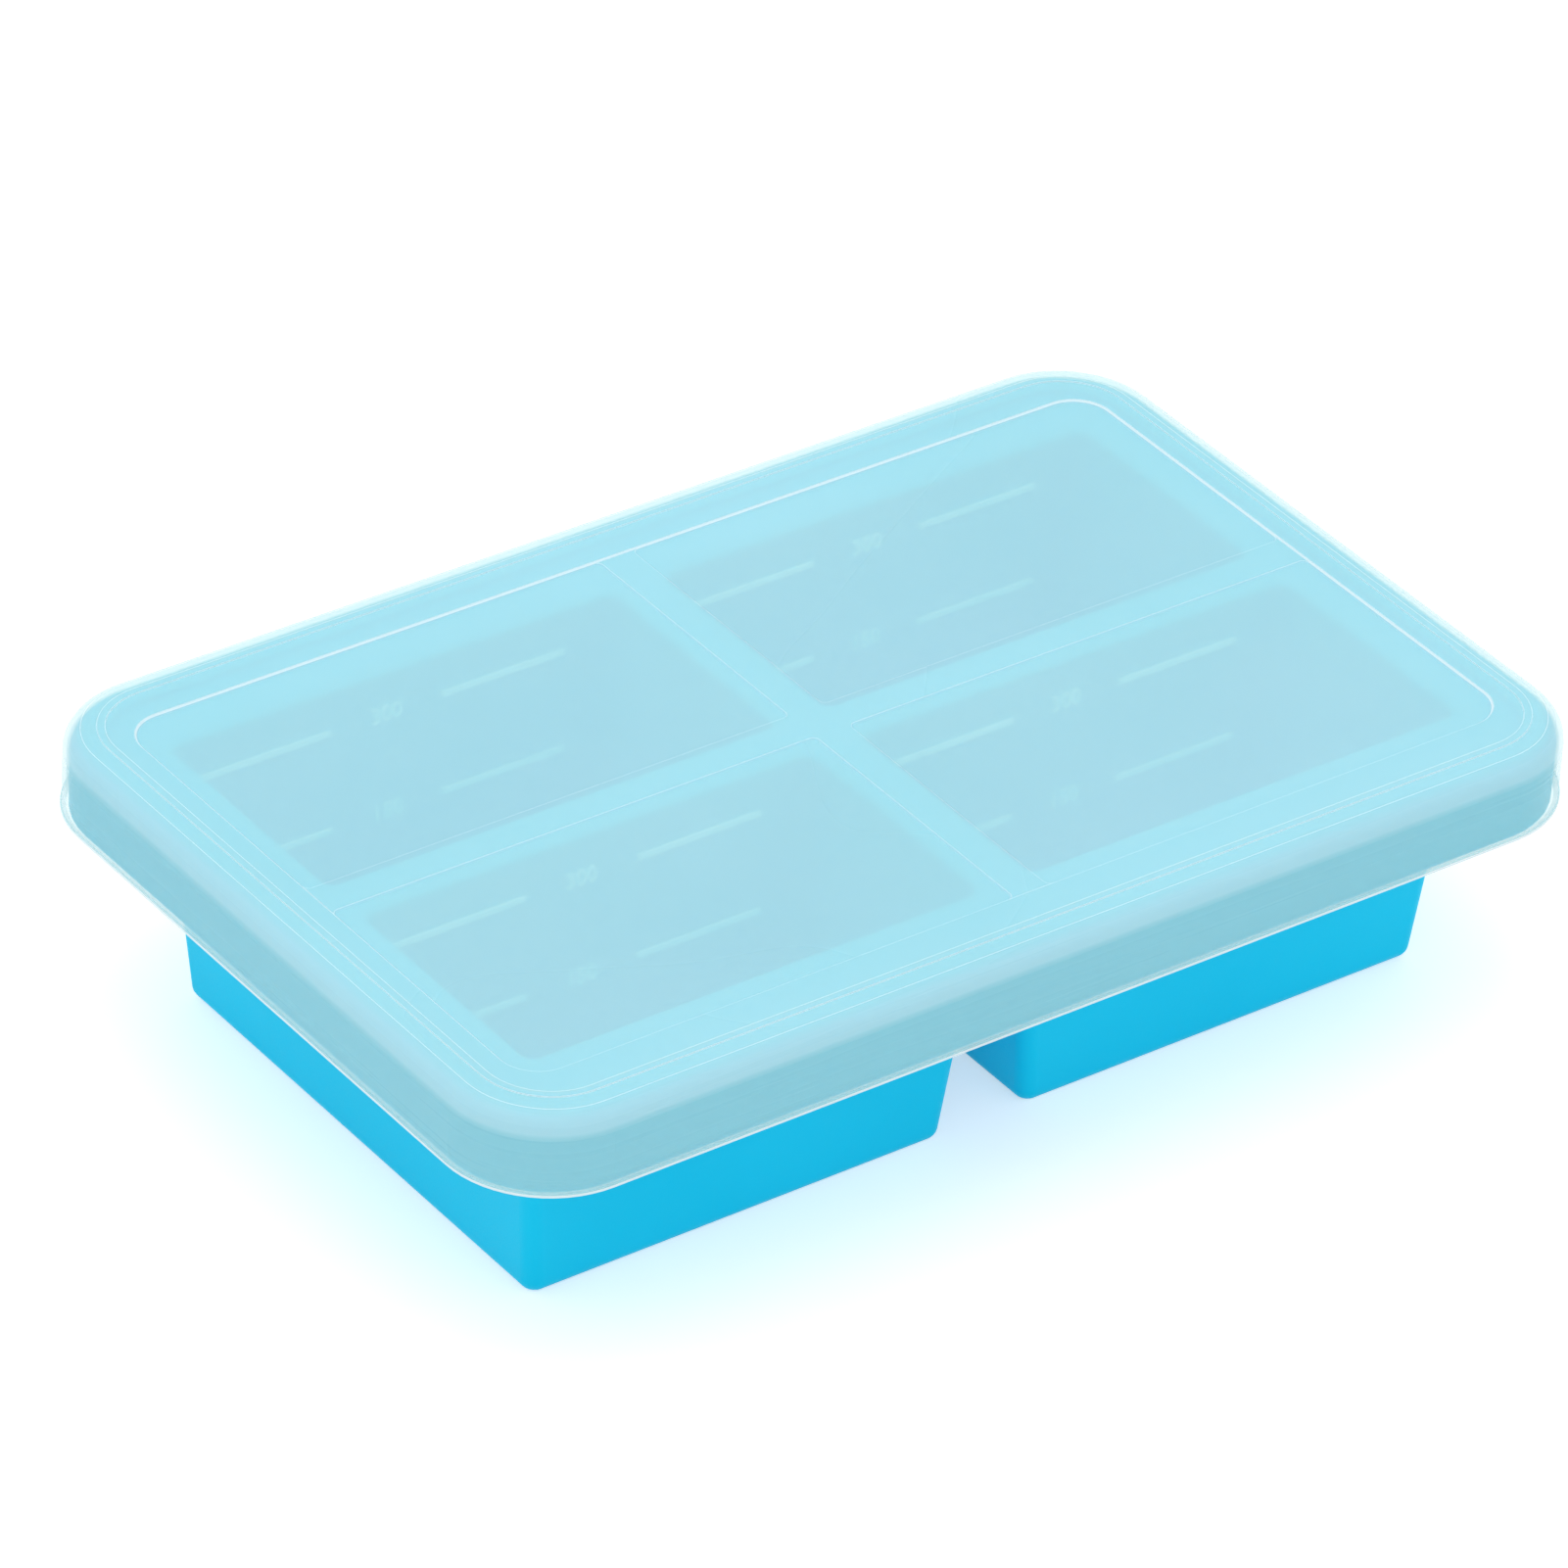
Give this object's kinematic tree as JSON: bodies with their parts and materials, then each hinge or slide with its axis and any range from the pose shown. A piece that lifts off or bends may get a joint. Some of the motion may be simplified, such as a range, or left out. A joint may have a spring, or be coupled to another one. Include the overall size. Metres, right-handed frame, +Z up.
{
  "type": "baby food freezer tray",
  "caption": "Soft freezer tray with deep food cups under one rim, a wire in the rim, and a clear lid that lifts off",
  "frame": {"origin": "On the table under the middle of the tray, at the foot of the cups.", "axes": "+X runs along the tray's long side, +Y runs across it to the cup walls that carry the fill marks, +Z is up. The lid sits with its top face up."},
  "size_m": [0.2826, 0.1856, 0.0662],
  "materials": {
    "silicone": "soft satin silicone, bright cyan blue all through",
    "wire": "plain drawn steel wire, moulded into the rim",
    "lid_plastic": "frosted see-through plastic with a gloss outer face"
  },
  "bodies": {
    "tray": {"tray": "silicone", "rim_wire": "wire"},
    "lid": {"lid": "lid_plastic"}
  },
  "joints": [
    {"name": "lid_lift", "type": "slide", "parent": "tray", "child": "lid", "axis": [0, 0, 1], "range_m": [0, 0.1]}
  ]
}
